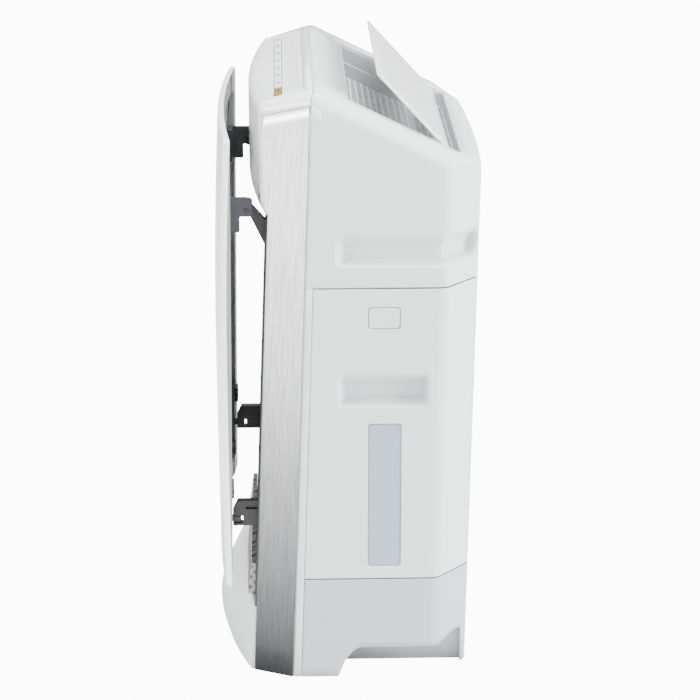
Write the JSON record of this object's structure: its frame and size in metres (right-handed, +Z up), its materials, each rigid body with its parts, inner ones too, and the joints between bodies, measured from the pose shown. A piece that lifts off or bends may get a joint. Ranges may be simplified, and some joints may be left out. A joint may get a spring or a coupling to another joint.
{
  "type": "dehumidifying air cleaner",
  "caption": "Tall floor-standing dehumidifying air cleaner with a motor-driven front panel, brushed trims, a side water tank and a lifting outlet flap.",
  "frame": {"origin": "on the floor, under the centre of the bounding box, with the front panel open", "axes": "+Z up, -Y the front with the moving panel, +X the side with the water tank"},
  "size_m": [0.394, 0.3028, 0.7001],
  "materials": {
    "white_shell": "satin",
    "white_gloss": "gloss",
    "dark_frame": "matte",
    "grey_plastic": "satin",
    "duct_grey": "matte",
    "brushed_trim": "brushed",
    "gold_key": "satin",
    "tinted_clear": "frosted",
    "steel": "satin",
    "mesh_brown": "matte",
    "black_plastic": "matte",
    "circuit_board": "satin",
    "filter_paper": "matte",
    "foot_rubber": "matte"
  },
  "bodies": {
    "cabinet": {"main_housing": "white_shell", "base": "white_shell", "rear_cover": "white_shell", "silver_trim_right": "brushed_trim", "silver_trim_left": "brushed_trim", "top_cowl": "white_gloss", "control_plate": "white_gloss", "control_board": "circuit_board", "front_frame": "dark_frame", "chin_cover": "white_shell", "outlet_duct": "duct_grey", "outlet_grille": "duct_grey", "lower_intake_grille": "mesh_brown", "panel_drive_motor": "black_plastic", "flap_motor": "black_plastic", "prefilter": "black_plastic", "dust_filter": "filter_paper", "deodorising_filter": "black_plastic", "air_guide": "grey_plastic", "rotor_frame": "grey_plastic", "heater": "steel", "fan_scroll": "grey_plastic", "fan_motor": "steel", "condenser": "duct_grey", "drain_tray": "grey_plastic", "cord_inlet": "black_plastic", "foot_front_right": "foot_rubber", "foot_rear_right": "foot_rubber", "foot_front_left": "foot_rubber", "foot_rear_left": "foot_rubber"},
    "carriage": {"upper_arm_right": "black_plastic", "upper_arm_left": "black_plastic", "lower_arm_right": "black_plastic", "lower_arm_left": "black_plastic", "hinge_pin_right": "steel", "hinge_pin_left": "steel"},
    "panel": {"front_panel": "white_gloss", "panel_frame": "grey_plastic", "upper_bracket_right": "grey_plastic", "upper_bracket_left": "grey_plastic", "lower_bracket_right": "grey_plastic", "lower_bracket_left": "grey_plastic"},
    "flap": {"outlet_flap": "white_gloss"},
    "tank": {"tank_cover": "white_shell", "tank_window": "tinted_clear", "tank_bucket": "tinted_clear", "tank_lid": "white_shell"},
    "latch": {"latch_button": "white_shell"},
    "fan": {"fan_wheel": "black_plastic"},
    "rotor": {"desiccant_rotor": "filter_paper"},
    "drive": {"drive_shaft": "steel"},
    "key_1_body": {"key_1": "gold_key"},
    "key_2_body": {"key_2": "white_gloss"},
    "key_3_body": {"key_3": "white_gloss"},
    "key_4_body": {"key_4": "white_gloss"},
    "key_5_body": {"key_5": "white_gloss"},
    "key_6_body": {"key_6": "white_gloss"},
    "key_7_body": {"key_7": "white_gloss"},
    "key_8_body": {"key_8": "white_gloss"}
  },
  "joints": [
    {"name": "panel_travel", "type": "slide", "parent": "cabinet", "child": "carriage", "axis": [0, -1, 0], "range_m": [-0.025, 0]},
    {"name": "panel_swing", "type": "hinge", "parent": "carriage", "child": "panel", "pos_m": [0, -0.1125, 0.553], "axis": [-1, 0, 0], "range_deg": [0, 8]},
    {"name": "flap_tilt", "type": "hinge", "parent": "cabinet", "child": "flap", "pos_m": [0, 0.103, 0.6184], "axis": [-1, 0, 0], "range_deg": [-21.4, 20]},
    {"name": "tank_slide", "type": "slide", "parent": "cabinet", "child": "tank", "axis": [1, 0, 0], "range_m": [0, 0.19]},
    {"name": "latch_press", "type": "slide", "parent": "tank", "child": "latch", "axis": [-1, 0, 0], "range_m": [0, 0.002], "stiffness_N_per_m": 600},
    {"name": "fan_spin", "type": "hinge", "parent": "cabinet", "child": "fan", "pos_m": [-0.06, 0, 0.33], "axis": [0, 1, 0], "continuous": true},
    {"name": "rotor_spin", "type": "hinge", "parent": "cabinet", "child": "rotor", "pos_m": [-0.06, 0, 0.33], "axis": [0, 1, 0], "continuous": true},
    {"name": "drive_turn", "type": "hinge", "parent": "cabinet", "child": "drive", "pos_m": [0, -0.025, 0.502], "axis": [1, 0, 0], "range_deg": [-165, 5]},
    {"name": "key_1_press", "type": "slide", "parent": "cabinet", "child": "key_1_body", "axis": [0, 0, -1], "range_m": [0, 0.001], "stiffness_N_per_m": 500},
    {"name": "key_2_press", "type": "slide", "parent": "cabinet", "child": "key_2_body", "axis": [0, 0, -1], "range_m": [0, 0.001], "stiffness_N_per_m": 500},
    {"name": "key_3_press", "type": "slide", "parent": "cabinet", "child": "key_3_body", "axis": [0, 0, -1], "range_m": [0, 0.001], "stiffness_N_per_m": 500},
    {"name": "key_4_press", "type": "slide", "parent": "cabinet", "child": "key_4_body", "axis": [0, 0, -1], "range_m": [0, 0.001], "stiffness_N_per_m": 500},
    {"name": "key_5_press", "type": "slide", "parent": "cabinet", "child": "key_5_body", "axis": [0, 0, -1], "range_m": [0, 0.001], "stiffness_N_per_m": 500},
    {"name": "key_6_press", "type": "slide", "parent": "cabinet", "child": "key_6_body", "axis": [0, 0, -1], "range_m": [0, 0.001], "stiffness_N_per_m": 500},
    {"name": "key_7_press", "type": "slide", "parent": "cabinet", "child": "key_7_body", "axis": [0, 0, -1], "range_m": [0, 0.001], "stiffness_N_per_m": 500},
    {"name": "key_8_press", "type": "slide", "parent": "cabinet", "child": "key_8_body", "axis": [0, 0, -1], "range_m": [0, 0.001], "stiffness_N_per_m": 500}
  ],
  "couplings": [
    {"joint": "drive_turn", "follows": "panel_travel", "rad_per_m": 111.11}
  ]
}
